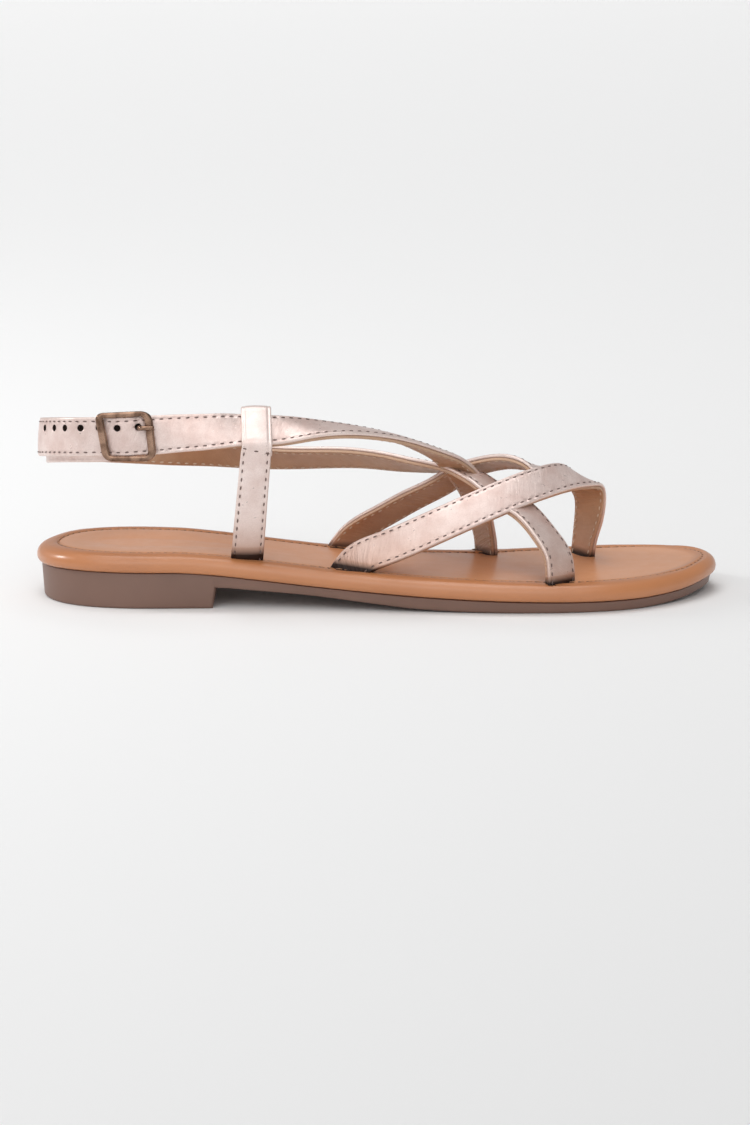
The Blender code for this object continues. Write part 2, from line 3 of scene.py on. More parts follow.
import bmesh
import bpy
import numpy as np
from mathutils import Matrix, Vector


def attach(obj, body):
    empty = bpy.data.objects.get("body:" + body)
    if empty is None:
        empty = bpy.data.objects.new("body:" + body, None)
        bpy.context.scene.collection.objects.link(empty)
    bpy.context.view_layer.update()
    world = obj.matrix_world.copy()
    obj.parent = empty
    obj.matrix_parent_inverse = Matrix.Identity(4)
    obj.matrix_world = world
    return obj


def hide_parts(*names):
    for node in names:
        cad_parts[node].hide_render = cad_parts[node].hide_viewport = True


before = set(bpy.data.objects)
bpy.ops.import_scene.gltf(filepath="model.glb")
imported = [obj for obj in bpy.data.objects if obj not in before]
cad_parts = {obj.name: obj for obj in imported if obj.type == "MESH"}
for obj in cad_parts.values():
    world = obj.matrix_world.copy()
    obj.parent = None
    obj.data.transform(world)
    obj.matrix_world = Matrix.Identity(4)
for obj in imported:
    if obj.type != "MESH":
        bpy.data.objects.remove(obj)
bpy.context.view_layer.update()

# Sole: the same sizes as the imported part, in metres. The toe points to +X and the outer side to -Y.
sole = {
    "length": 0.250, "ballWidth": 0.078, "heelHeight": 0.0132, "heelLength": 0.065,
    "foreThickness": 0.0039, "waistThickness": 0.0038, "toeSpring": 0.0024, "breastRake": 0.0012,
    "sideInset": 0.0017, "sideTaper": 0.0007, "footRound": 0.0011, "gap": 0.0003, "points": 720,
    # along and across as shares, anticlockwise from the back of the heel
    "outline": (
        (0.000, -0.03), (0.036, 0.50), (0.120, 0.71), (0.220, 0.66), (0.320, 0.57), (0.440, 0.52),
        (0.560, 0.565), (0.680, 0.74), (0.780, 0.92), (0.868, 1.003), (0.936, 0.90), (0.980, 0.62),
        (1.000, 0.20), (0.984, -0.14), (0.936, -0.53), (0.860, -0.85), (0.772, -0.98), (0.660, -0.995),
        (0.540, -0.935), (0.400, -0.84), (0.240, -0.79), (0.112, -0.77), (0.036, -0.54),
    ),
    # along, rise of the heel, toe spring, height of the underside, its toe spring
    "sideLine": (
        (0.00, 0.94, 0, 0.80, 0), (0.06, 1.00, 0, 0.80, 0), (0.20, 0.99, 0, 0.80, 0),
        (0.26, 0.90, 0, 0.80, 0), (0.32, 0.74, 0, 0.70, 0), (0.40, 0.52, 0, 0.55, 0),
        (0.47, 0.36, 0, 0.35, 0), (0.56, 0.19, 0, 0.11, 0), (0.64, 0.09, 0, 0.025, 0),
        (0.70, 0.04, 0, 0, 0), (0.80, 0, 0, 0, 0), (0.87, 0, 0.02, 0, 0),
        (0.94, 0, 0.30, 0, 0.30), (1.00, 0, 1.00, 0, 1.00),
    ),
}
footbed = {
    "thickness": 0.0062, "edgeRoll": 0.0042, "underRoll": 0.0016, "sideHeight": 0.0020, "points": 520,
    "fieldInset": 0.0110, "heelDish": 0.0007, "strapDent": 0.0005,
    "seamInset": 0.0078, "toeSeamShift": 0.0028, "seamDepth": 0.00035, "slitMargin": 0.0012, "slitDepth": 0.0056,
    # pitch of the seam, then length, width and height of a stitch and of the dark bead between two, painted shade of a
    # stitch hole
    "stitchPitch": 0.0031, "stitch": (0.0021, 0.0005, 0.0003), "holeShadeBead": (0.0012, 0.0009, 0.0004),
    # rings from the edge to the field, closer at the groove
    "insets": (0.0044, 0.0047, 0.0050, 0.0053, 0.0057, 0.0060, 0.0064, 0.0069, 0.0073, 0.0076, 0.0078, 0.0080,
               0.0083, 0.0087, 0.0093, 0.0102),
}


# Curves

def smoothRows(rows, count, closed=False):
    rows = np.array(rows, dtype=float)
    if closed:
        rows = np.vstack([rows[-3:], rows, rows[:4]])
    gaps = np.linalg.norm(np.diff(rows[:, :3], axis=0), axis=1)
    knots = np.concatenate([[0.0], np.cumsum(gaps)])
    size = len(rows)
    matrix = np.eye(size)
    right = np.zeros_like(rows)
    for i in range(1, size - 1):
        before, after = gaps[i - 1], gaps[i]
        matrix[i, i - 1:i + 2] = before, 2 * (before + after), after
        right[i] = 6 * ((rows[i + 1] - rows[i]) / after - (rows[i] - rows[i - 1]) / before)
    bend = np.linalg.solve(matrix, right)
    first, last = (knots[3], knots[-4]) if closed else (knots[0], knots[-1])
    places = np.linspace(first, last, count, endpoint=not closed)
    piece = np.clip(np.searchsorted(knots, places, side="right") - 1, 0, size - 2)
    span = gaps[piece][:, None]
    a = (knots[piece + 1] - places)[:, None] / span
    b = 1 - a
    curve = a * rows[piece] + b * rows[piece + 1]
    return curve + ((a ** 3 - a) * bend[piece] + (b ** 3 - b) * bend[piece + 1]) * span ** 2 / 6


def unit(values):
    return values / np.linalg.norm(values, axis=-1, keepdims=True)


def lengthsAlong(points):
    return np.concatenate([[0.0], np.cumsum(np.linalg.norm(np.diff(points, axis=0), axis=1))])


def sideValue(along, column):
    table = np.array(sole["sideLine"])
    s, v = table[:, 0], table[:, column]
    steps = np.diff(s)
    slopes = np.diff(v) / steps
    tangents = np.zeros(len(s))
    for i in range(1, len(s) - 1):
        if slopes[i - 1] * slopes[i] > 0:
            tangents[i] = 2 * slopes[i - 1] * slopes[i] / (slopes[i - 1] + slopes[i])
    along = np.clip(along, s[0], s[-1])
    i = np.minimum(np.searchsorted(s, along, side="right") - 1, len(s) - 2)
    t = (along - s[i]) / steps[i]
    return ((1 + 2 * t) * (1 - t) ** 2 * v[i] + t * (1 - t) ** 2 * steps[i] * tangents[i]
            + t * t * (3 - 2 * t) * v[i + 1] + t * t * (t - 1) * steps[i] * tangents[i + 1])


def soleTop(x):
    along = np.asarray(x) / sole["length"] + 0.5
    heelPart = sideValue(along, 1) * (sole["heelHeight"] - sole["foreThickness"])
    return sole["foreThickness"] + heelPart + sideValue(along, 2) * sole["toeSpring"]


def soleUnder(x):
    along = np.asarray(x) / sole["length"] + 0.5
    waist = sideValue(along, 3) * (sole["heelHeight"] - sole["waistThickness"])
    under = waist + sideValue(along, 4) * sole["toeSpring"]
    return np.where(np.asarray(x) < sole["heelLength"] - sole["length"] / 2, 0.0, under)


def footbedTop(x):
    return soleTop(x) + sole["gap"] + footbed["thickness"]


def outlineLoop(inset, count):
    rows = [((along - 0.5) * sole["length"], across * sole["ballWidth"] / 2, 0.0) for along, across in sole["outline"]]
    points = smoothRows(rows, count, closed=True)[:, :2]
    ahead = np.roll(points, -1, axis=0) - np.roll(points, 1, axis=0)
    return points + unit(np.stack([ahead[:, 1], -ahead[:, 0]], 1)) * inset


# Meshes

def addObject(name, data):
    item = bpy.data.objects.new(name, data)
    bpy.context.scene.collection.objects.link(item)
    return item


def ringFaces(count, size, closed=False):
    faces = []
    for i in range(count if closed else count - 1):
        near, far = i * size, (i + 1) % count * size
        for j in range(size):
            k = (j + 1) % size
            faces.append((near + j, near + k, far + k, far + j))
    return faces


def capFaces(count, size):
    return [tuple(range(size)), tuple(reversed(range((count - 1) * size, count * size)))]


def makeObject(name, points, faces, uv=None, attributes=None):
    mesh = bpy.data.meshes.new(name)
    mesh.from_pydata([tuple(p) for p in points], [], faces)
    if uv is not None:
        layer = mesh.uv_layers.new(name="strapUV")
        index = np.empty(len(mesh.loops), dtype=np.int32)
        mesh.loops.foreach_get("vertex_index", index)
        layer.data.foreach_set("uv", np.asarray(uv, dtype=np.float32)[index].ravel())
    for label, values in (attributes or {}).items():
        mesh.attributes.new(label, "FLOAT", "POINT").data.foreach_set("value", np.asarray(values, dtype=np.float32))
    item = addObject(name, mesh)
    tidy = bmesh.new()
    tidy.from_mesh(mesh)
    bmesh.ops.remove_doubles(tidy, verts=tidy.verts[:], dist=1e-7)
    bmesh.ops.recalc_face_normals(tidy, faces=tidy.faces[:])
    tidy.to_mesh(mesh)
    tidy.free()
    mesh.shade_smooth()
    return item


def sweep(name, path, profile, widths=None, attributes=None):
    points, outward, across = path[0], path[2], path[3]
    count, size = len(points), len(profile)
    scale = np.ones(count) if widths is None else widths
    a, n = profile[:, 0], profile[:, 1]
    body = (points[:, None, :] + across[:, None, :] * (a[None, :, None] * scale[:, None, None])
            + outward[:, None, :] * n[None, :, None])
    lengths = lengthsAlong(points)
    uv = np.stack([np.repeat(lengths, size), np.tile(a, count)], 1)
    body = body.reshape(-1, 3)
    extra = {label: values(body) if callable(values) else np.repeat(values, size)
             for label, values in (attributes or {}).items()}
    return makeObject(name, body, ringFaces(count, size) + capFaces(count, size), uv, extra)


def bakeModifiers(item):
    graph = bpy.context.evaluated_depsgraph_get()
    mesh = bpy.data.meshes.new_from_object(item.evaluated_get(graph), preserve_all_data_layers=True, depsgraph=graph)
    item.modifiers.clear()
    item.data = mesh
    mesh.name = item.name


def finishPiece(item, material, slot, *replaced):
    if material is not None:
        item.data.materials.clear()
        item.data.materials.append(material)
    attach(item, "root")
    if replaced:
        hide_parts(*replaced)


# Strap paths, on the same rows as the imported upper

strap = {
    "width": 0.0132, "faceThickness": 0.0014, "liningThickness": 0.0012, "liningInset": 0.0003, "crown": 0.0004,
    "faceEdge": 0.00062, "liningEdge": 0.00028, "sheetGap": 0.00003, "seamStart": 0.004, "seamEnd": 0.003,
    "hiddenEnd": 0.052, "stitchLift": 0.00008, "liningStitchLift": 0.00006,
    "layer": 0.0029, "instep": 0.055, "step": 0.0011, "seamInset": 0.0014, "seamDepth": 0.00013,
    "stitchPitch": 0.0031, "stitchLength": 0.0016, "stitchWidth": 0.00055, "stitchHeight": 0.00045,
}
# Strap rows: along, across, height, tilt (0 outer side, 90 up, 180 inner side), turn, layer
frontStrapRows = (
    (0.452, -0.64, -0.07, 34, 0, 0), (0.471, -0.65, 0.055, 34, 0, 0), (0.509, -0.655, 0.152, 37, 0, 0),
    (0.549, -0.64, 0.238, 38, 0, 0), (0.589, -0.59, 0.323, 39, 0, 0), (0.650, -0.47, 0.443, 40, 0, 0),
    (0.707, -0.32, 0.538, 41, 4, 0), (0.750, -0.16, 0.586, 46, 10, 0), (0.781, 0.00, 0.590, 58, 20, 0),
    (0.802, 0.15, 0.535, 82, 10, 0), (0.812, 0.28, 0.430, 116, -42, 0), (0.813, 0.37, 0.300, 148, -57, 0),
    (0.809, 0.45, 0.160, 166, -62, 0), (0.805, 0.52, -0.07, 172, -62, 0),
)
crossStrapRows = (
    (0.446, 0.39, -0.07, 150, 0, 0), (0.470, 0.430, 0.090, 140, 0, 0), (0.509, 0.470, 0.218, 133, 0, 0),
    (0.551, 0.455, 0.340, 128, 0, 0), (0.592, 0.385, 0.455, 123, 0, 0), (0.627, 0.300, 0.570, 120, 0, 0),
    (0.666, 0.185, 0.648, 117, 0, 0), (0.707, 0.040, 0.670, 112, 0, 0), (0.742, 0.005, 0.628, 82, 6, -0.7),
    (0.764, -0.045, 0.560, 64, 12, -1.1),
)
outerStrapRows = (
    (0.661, 0.50, -0.07, 172, -60, 0), (0.660, 0.50, 0.080, 168, -60, 0), (0.654, 0.46, 0.205, 160, -56, 0),
    (0.646, 0.36, 0.350, 148, -48, 0), (0.636, 0.20, 0.490, 130, -30, 0), (0.620, 0.06, 0.605, 110, -10, 0),
    (0.602, -0.05, 0.690, 99, 0, 0), (0.578, -0.17, 0.755, 94, 0, 0), (0.530, -0.36, 0.845, 91, 0, 0),
    (0.486, -0.49, 0.888, 88, 0, 0), (0.443, -0.59, 0.905, 82, 0, 0), (0.395, -0.68, 0.900, 66, 0, 0),
    (0.357, -0.730, 0.878, 50, 0, 0.1), (0.305, -0.755, 0.842, 42, 0, 0.6), (0.270, -0.755, 0.822, 28, 0, 1),
    (0.215, -0.745, 0.800, 18, 0, 1),
)
innerStrapRows = (
    (0.760, -0.78, -0.07, 6, 42, 0), (0.760, -0.78, 0.063, 8, 42, 0), (0.757, -0.74, 0.157, 14, 44, 0),
    (0.742, -0.63, 0.267, 27, 48, 0), (0.714, -0.44, 0.402, 48, 46, -0.1), (0.679, -0.22, 0.484, 84, 24, -0.1),
    (0.646, -0.04, 0.540, 98, 4, 0.4), (0.621, 0.12, 0.550, 102, 0, 0.8), (0.591, 0.255, 0.552, 109, 0, 0.8),
    (0.550, 0.38, 0.568, 117, 0, 0.4), (0.509, 0.48, 0.590, 125, 0, 0), (0.467, 0.58, 0.583, 128, 0, 0),
    (0.383, 0.69, 0.536, 131, 0, 0), (0.316, 0.735, 0.508, 136, 0, 0), (0.240, 0.735, 0.512, 150, 0, 0),
)
# The heel strap, from the buckle round the heel to the inner side: along, across, height, turn
heelWrap = {
    "rows": (
        (0.142, -0.735, 0.756, -4), (0.084, -0.655, 0.742, -28), (0.047, -0.43, 0.713, -56),
        (0.025, -0.12, 0.675, -84), (0.030, 0.20, 0.635, -112), (0.056, 0.50, 0.597, -140),
        (0.100, 0.67, 0.566, -164), (0.168, 0.72, 0.545, -176),
    ),
    "tilt": 4.0, "tailRows": 5, "tailRise": 0.0020, "innerDrop": 0.0007, "tailWidth": 1.06, "tipLength": 0.008,
}
buckle = {
    "along": 0.142, "length": 0.0215, "railDepth": 0.0019, "endRailWidth": 0.0029, "sideRailWidth": 0.0020,
    # outer corners of the frame, along and above its middle, each with its rounding
    "corners": ((0.0098, 0.0092, 0.0032), (-0.0106, 0.0086, 0.0018), (-0.0082, -0.0087, 0.0026),
                (0.0112, -0.0088, 0.0034)),
    "barEnds": (0.0075, -0.0076), "barRadius": 0.0009, "prongRadius": 0.00085, "weave": 0.0008,
    "strapRoom": 0.0013, "clearance": 0.0010, "prongHole": 0.0048, "prongReach": 0.0092,
}


def footPoint(along, across, height):
    x = (along - 0.5) * sole["length"]
    return [x, across * sole["ballWidth"] / 2, float(footbedTop(x)) + height * strap["instep"]]


def facing(tilt, turn):
    tilt, turn = np.radians(tilt), np.radians(turn)
    return np.stack([np.cos(tilt) * np.sin(turn), -np.cos(tilt) * np.cos(turn), np.sin(tilt)], -1)


def strapPath(rows, step=strap["step"]):
    table = [(*footPoint(*row[:3]), *row[3:]) for row in rows]
    length = lengthsAlong(np.array(table)[:, :3])[-1]
    values = smoothRows(table, max(6, round(length / step)))
    points = values[:, :3]
    ahead = unit(np.gradient(points, axis=0))
    outward = facing(values[:, 3], values[:, 4])
    outward = unit(outward - np.sum(outward * ahead, axis=1)[:, None] * ahead)
    points = points + outward * (values[:, 5] * strap["layer"])[:, None]
    return points, ahead, outward, np.cross(ahead, outward)


def tailRows():
    rise = heelWrap["tailRise"] / strap["instep"]
    rows = heelWrap["rows"][:heelWrap["tailRows"]]
    return tuple((a, c, h + rise, heelWrap["tilt"], turn, 1) for a, c, h, turn in rows)


def innerWrapRows():
    drop = heelWrap["innerDrop"] / strap["instep"]
    rows = [(a, c, h - drop, 180 - heelWrap["tilt"], turn + 180, 0) for a, c, h, turn in reversed(heelWrap["rows"])]
    end = buckle["along"] - (buckle["barRadius"] + 2 * sole["gap"]) / sole["length"]
    return tuple(rows[:-1]) + ((end, *rows[-1][1:]),)


def pathPlace(path, along):
    x = (along - 0.5) * sole["length"]
    i = int(np.argmin(np.where(path[0][:, 1] < 0, np.abs(path[0][:, 0] - x), 1.0)))
    return i, [np.array(values[i]) for values in path]


def weaveAt(away):
    swing = buckle["weave"] * np.cos(2 * np.pi * away / buckle["length"])
    return np.where(np.abs(away) < 0.75 * buckle["length"], swing, 0.0)


def weaveThroughBuckle(path, place):
    points, ahead, outward, across = path
    swing = np.where(points[:, 1] < 0, weaveAt(points[:, 0] - place[0]), 0.0)
    return points + outward * swing[:, None], ahead, outward, across


def roundedProfile(width, low, high, radius):
    half = width / 2
    flat = np.linspace(-(half - radius), half - radius, 45)
    arc = np.radians(np.linspace(90, 0, 6))[1:]
    corner = np.stack([half - radius + radius * np.cos(arc), high - radius + radius * np.sin(arc)], 1)
    top = np.stack([flat, np.full_like(flat, high)], 1)
    top[:, 1] -= strap["seamDepth"] * np.exp(-((np.abs(flat) - (half - strap["seamInset"])) / 0.0005) ** 2)
    under = corner[::-1] * [1, -1] + [0, high + low]
    underSide = np.stack([flat[::-4], np.full_like(flat[::-4], low)], 1)
    right = np.vstack([corner, under])
    left = right[::-1] * [-1, 1]
    profile = np.vstack([top, right, underSide[1:-1], left])
    profile[:, 1] += crownAt(profile[:, 0])
    return profile


def crownAt(a):
    return strap["crown"] * (1 - (2 * a / strap["width"]) ** 2)


# Geometry Nodes: a row of stitches along every line of a mesh, with its "up" attribute as the outer direction

def newNode(tree, kind, inputs=None, **settings):
    node = tree.nodes.new(kind)
    for label, value in settings.items():
        setattr(node, label, value)
    for label, value in (inputs or {}).items():
        socket = node.inputs[label]
        if isinstance(value, bpy.types.NodeSocket):
            tree.links.new(value, socket)
        else:
            socket.default_value = value
    return node


def stitchTree():
    tree = bpy.data.node_groups.new("stitchRow", "GeometryNodeTree")
    face = tree.interface
    face.new_socket(name="Rows", in_out="INPUT", socket_type="NodeSocketGeometry")
    for label in ("Pitch", "Length", "Width", "Height"):
        face.new_socket(name=label, in_out="INPUT", socket_type="NodeSocketFloat")
    face.new_socket(name="Thread", in_out="INPUT", socket_type="NodeSocketMaterial")
    face.new_socket(name="Stitches", in_out="OUTPUT", socket_type="NodeSocketGeometry")
    given = newNode(tree, "NodeGroupInput").outputs
    curve = newNode(tree, "GeometryNodeMeshToCurve", {"Mesh": given["Rows"]}).outputs["Curve"]
    even = newNode(tree, "GeometryNodeResampleCurve", {"Curve": curve, "Length": given["Pitch"]}, mode="LENGTH")
    tangent = newNode(tree, "GeometryNodeInputTangent").outputs["Tangent"]
    up = newNode(tree, "GeometryNodeInputNamedAttribute", {"Name": "up"},
                 data_type="FLOAT_VECTOR").outputs["Attribute"]
    wobble = newNode(tree, "FunctionNodeRandomValue", {"Min": (-0.12,) * 3, "Max": (0.12,) * 3, "Seed": 7},
                     data_type="FLOAT_VECTOR")
    leaning = newNode(tree, "ShaderNodeVectorMath", {0: tangent, 1: wobble.outputs[0]}, operation="ADD").outputs[0]
    first = newNode(tree, "FunctionNodeAlignRotationToVector", {"Vector": leaning}, axis="X")
    turned = newNode(tree, "FunctionNodeAlignRotationToVector",
                     {"Rotation": first.outputs[0], "Vector": up}, axis="Z", pivot_axis="X")
    bead = newNode(tree, "GeometryNodeMeshUVSphere", {"Segments": 8, "Rings": 5, "Radius": 0.5})
    size = newNode(tree, "ShaderNodeCombineXYZ", {"X": given["Length"], "Y": given["Width"], "Z": given["Height"]})
    shaped = newNode(tree, "GeometryNodeTransform", {"Geometry": bead.outputs["Mesh"], "Scale": size.outputs[0]})
    copies = newNode(tree, "GeometryNodeInstanceOnPoints", {
        "Points": even.outputs["Curve"], "Instance": shaped.outputs["Geometry"], "Rotation": turned.outputs[0]})
    real = newNode(tree, "GeometryNodeRealizeInstances", {"Geometry": copies.outputs["Instances"]})
    threaded = newNode(tree, "GeometryNodeSetMaterial",
                       {"Geometry": real.outputs["Geometry"], "Material": given["Thread"]})
    smooth = newNode(tree, "GeometryNodeSetShadeSmooth", {0: threaded.outputs["Geometry"]})
    newNode(tree, "NodeGroupOutput", {"Stitches": smooth.outputs[0]})
    return tree


def stitchRows(name, rows, thread, slot, pitch, length, width, height):
    points, edges, ups = [], [], []
    for line, outward in rows:
        first = len(points)
        points += [tuple(p) for p in line]
        ups += [tuple(u) for u in outward]
        edges += [(i, i + 1) for i in range(first, len(points) - 1)]
    mesh = bpy.data.meshes.new(name)
    mesh.from_pydata(points, edges, [])
    mesh.attributes.new("up", "FLOAT_VECTOR", "POINT").data.foreach_set("vector", np.array(ups).ravel())
    item = addObject(name, mesh)
    step = item.modifiers.new("stitches", "NODES")
    step.node_group = stitches
    sockets = {s.name: s.identifier for s in stitches.interface.items_tree if s.in_out == "INPUT"}
    for label, value in (("Pitch", pitch), ("Length", length), ("Width", width), ("Height", height),
                         ("Thread", thread)):
        step[sockets[label]] = value
    bakeModifiers(item)
    finishPiece(item, thread, slot)


def seamLines(path, n, sign, start, end, widths=None):
    lengths = lengthsAlong(path[0])
    keep = (lengths > start) & (lengths < lengths[-1] - end)
    scale = np.ones(len(lengths)) if widths is None else widths
    rows = []
    for side in (-1, 1):
        a = side * (strap["width"] / 2 - strap["seamInset"])
        height = n + crownAt(a)
        line = path[0] + path[3] * (a * scale)[:, None] + path[2] * height
        rows.append((line[keep], sign * path[2][keep]))
    return rows


# Materials

def newMaterial(name, roughness, metallic=0.0, **sockets):
    material = bpy.data.materials.new(name)
    material.use_nodes = True
    shader = material.node_tree.nodes["Principled BSDF"]
    shader.inputs["Roughness"].default_value = roughness
    shader.inputs["Metallic"].default_value = metallic
    for label, value in sockets.items():
        shader.inputs[label].default_value = value
    return material, material.node_tree, shader


def dress(material, tree, shader, colour, normal=None, gloss=None):
    for label, value in (("Base Color", colour), ("Normal", normal), ("Roughness", gloss)):
        if value is not None:
            tree.links.new(value, shader.inputs[label])
    return material


def noiseOn(tree, place, scale, detail=3.0, roughness=0.55, distortion=0.0):
    node = newNode(tree, "ShaderNodeTexNoise", {"Vector": place, "Scale": scale, "Detail": detail,
                                                "Roughness": roughness, "Distortion": distortion})
    return node.outputs["Fac"]


def mathOn(tree, operation, a, b=None, c=None, clamp=False):
    inputs = {i: v for i, v in enumerate((a, b, c)) if v is not None}
    return newNode(tree, "ShaderNodeMath", inputs, operation=operation, use_clamp=clamp).outputs[0]


def rangeOn(tree, value, low, high, newLow=0.0, newHigh=1.0):
    return newNode(tree, "ShaderNodeMapRange", {"Value": value, "From Min": low, "From Max": high,
                                                "To Min": newLow, "To Max": newHigh}).outputs["Result"]


def mixColours(tree, share, a, b):
    return newNode(tree, "ShaderNodeMix", {0: share, 6: a, 7: b}, data_type="RGBA").outputs[2]


def bumpOn(tree, height, strength, distance, normal=None):
    inputs = {"Height": height, "Strength": strength, "Distance": distance}
    if normal is not None:
        inputs["Normal"] = normal
    return newNode(tree, "ShaderNodeBump", inputs).outputs["Normal"]


def objectPlace(tree):
    return newNode(tree, "ShaderNodeTexCoord").outputs["Object"]


def attributeOn(tree, name):
    return newNode(tree, "ShaderNodeAttribute", attribute_name=name).outputs["Fac"]


def strapLeather(name, light, deep, edge, foot, roughness, metallic, grain, creaseDepth, seam):
    material, tree, shader = newMaterial(name, roughness, metallic)
    place = objectPlace(tree)
    uv = newNode(tree, "ShaderNodeUVMap", uv_map="strapUV").outputs["UV"]
    u, v, _ = newNode(tree, "ShaderNodeSeparateXYZ", {0: uv}).outputs
    cloud = rangeOn(tree, noiseOn(tree, place, 110.0, 5.0, 0.6), 0.36, 0.66)
    fine = noiseOn(tree, place, 2400.0, 2.0)
    colour = mixColours(tree, cloud, (*light, 1.0), (*deep, 1.0))
    rim = rangeOn(tree, mathOn(tree, "ABSOLUTE", v), strap["width"] / 2 - 0.0009, strap["width"] / 2)
    colour = mixColours(tree, mathOn(tree, "MULTIPLY", rim, 0.6), colour, (*edge, 1.0))
    speck = mathOn(tree, "MULTIPLY", rangeOn(tree, fine, 0.42, 0.66), 0.22)
    colour = mixColours(tree, speck, colour, (*[c * 0.72 for c in deep], 1.0))
    # painted shade and painted reflection: where the foot value rises near the slits, a warm brown stands for the
    # footbed reflected low on the strap, then the foot colour stands for the shade in the slit
    low = attributeOn(tree, "foot")
    colour = mixColours(tree, rangeOn(tree, low, 0.0, 0.32, 0.0, 0.85), colour, (0.470, 0.265, 0.180, 1.0))
    colour = mixColours(tree, rangeOn(tree, low, 0.26, 0.72, 0.0, 1.0), colour, (*foot, 1.0))
    gloss = rangeOn(tree, noiseOn(tree, place, 420.0, 3.0), 0.3, 0.7, roughness - 0.07, roughness + 0.08)
    slanted = mathOn(tree, "MULTIPLY_ADD", v, 0.55, u)
    stretched = newNode(tree, "ShaderNodeCombineXYZ", {
        "X": mathOn(tree, "MULTIPLY", slanted, 620.0), "Y": mathOn(tree, "MULTIPLY", v, 110.0)}).outputs[0]
    crease = attributeOn(tree, "crease")
    folds = noiseOn(tree, stretched, 1.0, 3.0, 0.6, 0.6)
    normal = bumpOn(tree, fine, grain, 0.00012)
    normal = bumpOn(tree, mathOn(tree, "MULTIPLY", folds, crease), creaseDepth, 0.0007, normal)
    off = mathOn(tree, "DIVIDE", mathOn(tree, "SUBTRACT", mathOn(tree, "ABSOLUTE", v),
                                        strap["width"] / 2 - strap["seamInset"]), 0.0007)
    bell = mathOn(tree, "EXPONENT", mathOn(tree, "MULTIPLY", mathOn(tree, "MULTIPLY", off, off), -1.0))
    wave = mathOn(tree, "COSINE", mathOn(tree, "MULTIPLY", u, 2 * math.pi / strap["stitchPitch"]))
    sewn = attributeOn(tree, "sewn")
    pucker = mathOn(tree, "MULTIPLY", mathOn(tree, "MULTIPLY", bell, wave), sewn)
    return dress(material, tree, shader, colour, bumpOn(tree, pucker, seam, 0.0002, normal), gloss)


def footbedLeather():
    material, tree, shader = newMaterial("footbedLeather", 0.40, **{"Coat Weight": 0.50, "Coat Roughness": 0.20})
    place = objectPlace(tree)
    cloud = rangeOn(tree, noiseOn(tree, place, 22.0, 4.0), 0.3, 0.7)
    colour = mixColours(tree, cloud, (0.550, 0.222, 0.087, 1.0), (0.475, 0.182, 0.068, 1.0))
    # the field inside the seam is mixed lighter than the rolled rim: partly the leather's own tone, partly painted
    # light on the upward face
    depth = attributeOn(tree, "inside")
    field = mathOn(tree, "MULTIPLY", rangeOn(tree, depth, 0.0068, 0.0095), 0.75)
    colour = mixColours(tree, field, colour, (0.740, 0.335, 0.160, 1.0))
    fine = noiseOn(tree, place, 1900.0, 3.0)
    speck = mathOn(tree, "MULTIPLY", rangeOn(tree, fine, 0.45, 0.7), 0.10)
    colour = mixColours(tree, speck, colour, (0.36, 0.15, 0.07, 1.0))
    gloss = rangeOn(tree, noiseOn(tree, place, 160.0, 3.0), 0.3, 0.7, 0.36, 0.46)
    normal = bumpOn(tree, fine, 0.10, 0.00012)
    normal = bumpOn(tree, noiseOn(tree, place, 90.0, 2.0), 0.10, 0.0008, normal)
    return dress(material, tree, shader, colour, normal, gloss)


def threadMaterial(name, colour):
    material, tree, shader = newMaterial(name, 0.6, **{"Sheen Weight": 0.2})
    place = objectPlace(tree)
    twist = newNode(tree, "ShaderNodeTexWave", {"Vector": place, "Scale": 900.0, "Distortion": 1.5}).outputs["Fac"]
    shade = mixColours(tree, twist, (*colour, 1.0), (*[c * 0.6 for c in colour], 1.0))
    return dress(material, tree, shader, shade, bumpOn(tree, twist, 0.4, 0.0001))


def mottled(name, light, dark, noise, share, roughness, metallic=0.0, gloss=None, grain=None):
    material, tree, shader = newMaterial(name, roughness, metallic)
    place = objectPlace(tree)
    cloud = rangeOn(tree, noiseOn(tree, place, *noise), *share)
    colour = mixColours(tree, cloud, (*light, 1.0), (*dark, 1.0))
    shine = gloss and rangeOn(tree, noiseOn(tree, place, 600.0, 3.0), 0.3, 0.7, *gloss)
    normal = grain and bumpOn(tree, noiseOn(tree, place, grain[0], 2.0), grain[1], 0.0001)
    return dress(material, tree, shader, colour, normal, shine)


paintedFloorShade = {"level": 1.0, "fallRight": 0.05, "fallDown": 0.17}


def paleFloor():
    material, tree, shader = newMaterial("paleFloor", 0.9, **{"Specular IOR Level": 0.0})
    x, y, _ = newNode(tree, "ShaderNodeSeparateXYZ", {0: objectPlace(tree)}).outputs
    # painted shade: the floor's colour falls off towards the right and the bottom of the picture; aside and down: the
    # place in the picture, 0 to 1, from the camera's pitch and lens
    depth = mathOn(tree, "MULTIPLY_ADD", y, 0.978, 1.178)
    aside = mathOn(tree, "MULTIPLY_ADD", mathOn(tree, "DIVIDE", x, depth), 4.26, 0.5)
    rise = mathOn(tree, "DIVIDE", mathOn(tree, "MULTIPLY_ADD", y, 0.2079, -0.0107), depth)
    down = mathOn(tree, "MAXIMUM", mathOn(tree, "MULTIPLY_ADD", rise, -2.84, 0.5), 0.0)
    down = mathOn(tree, "POWER", down, 0.6)
    shade = mathOn(tree, "MULTIPLY_ADD", aside, -paintedFloorShade["fallRight"], paintedFloorShade["level"])
    shade = mathOn(tree, "MULTIPLY_ADD", down, -paintedFloorShade["fallDown"], shade, clamp=True)
    grey = newNode(tree, "ShaderNodeCombineColor", {0: shade, 1: shade, 2: shade}).outputs[0]
    return dress(material, tree, shader, grey)


